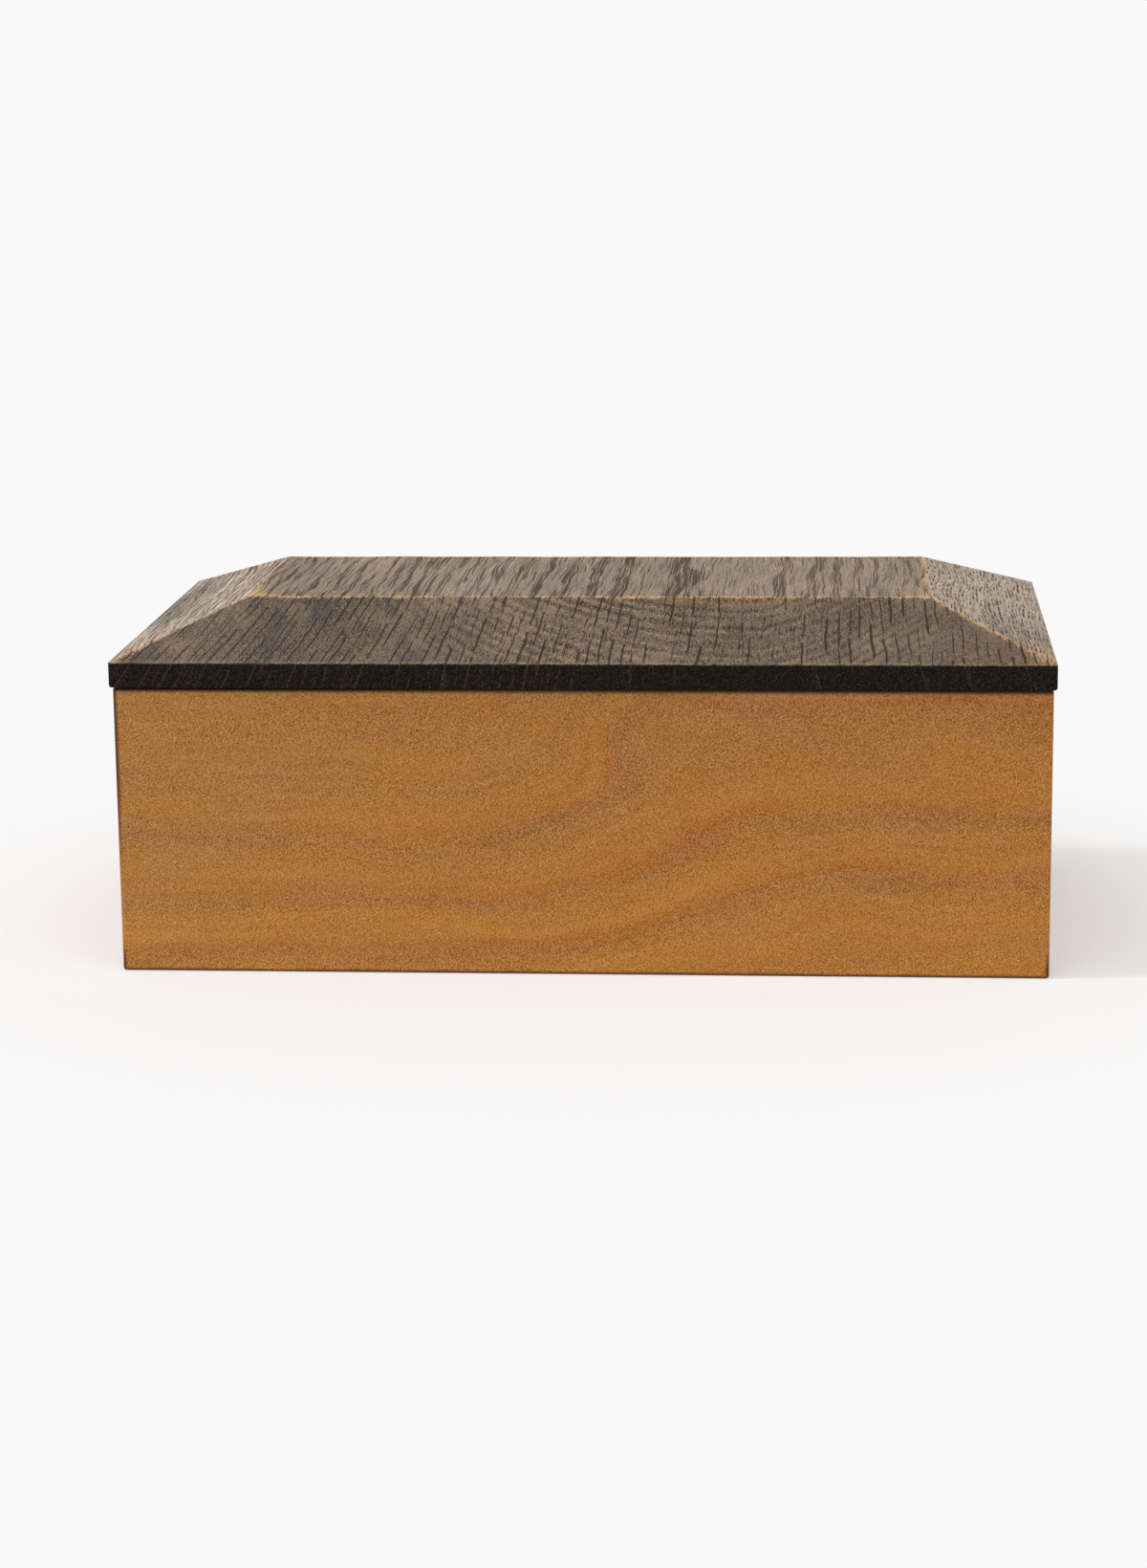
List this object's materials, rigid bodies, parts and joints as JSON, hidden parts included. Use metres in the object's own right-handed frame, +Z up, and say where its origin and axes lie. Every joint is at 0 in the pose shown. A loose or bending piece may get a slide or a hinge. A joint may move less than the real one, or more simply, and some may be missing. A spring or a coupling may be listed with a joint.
{
  "type": "keepsake box",
  "caption": "Wooden keepsake box: fruitwood sides with mitred corners and a dark hipped lid that lifts off.",
  "frame": {"origin": "on the table under the middle of the box", "axes": "+X along the length of the box, +Y from the front to the back, +Z up"},
  "size_m": [0.2316, 0.1266, 0.09],
  "materials": {
    "fruitwood": "oiled, fine grained, satin",
    "smoked_oak": "darkened oak, open grain, matt",
    "tongue_beech": "planed, bare",
    "brass": "turned, slightly dulled"
  },
  "bodies": {
    "box": {"front_wall": "fruitwood", "back_wall": "fruitwood", "left_wall": "fruitwood", "right_wall": "fruitwood", "floor_panel": "fruitwood", "corner_tongue_front_left": "tongue_beech", "corner_tongue_front_right": "tongue_beech", "corner_tongue_back_left": "tongue_beech", "corner_tongue_back_right": "tongue_beech"},
    "lid": {"lid_board": "smoked_oak", "lid_batten_front": "fruitwood", "lid_batten_back": "fruitwood", "batten_screw_front_left": "brass", "batten_screw_front_middle": "brass", "batten_screw_front_right": "brass", "batten_screw_back_left": "brass", "batten_screw_back_middle": "brass", "batten_screw_back_right": "brass"}
  },
  "joints": [
    {"name": "lid_lift", "type": "slide", "parent": "box", "child": "lid", "axis": [0, 0, 1], "range_m": [0, 0.12]}
  ]
}
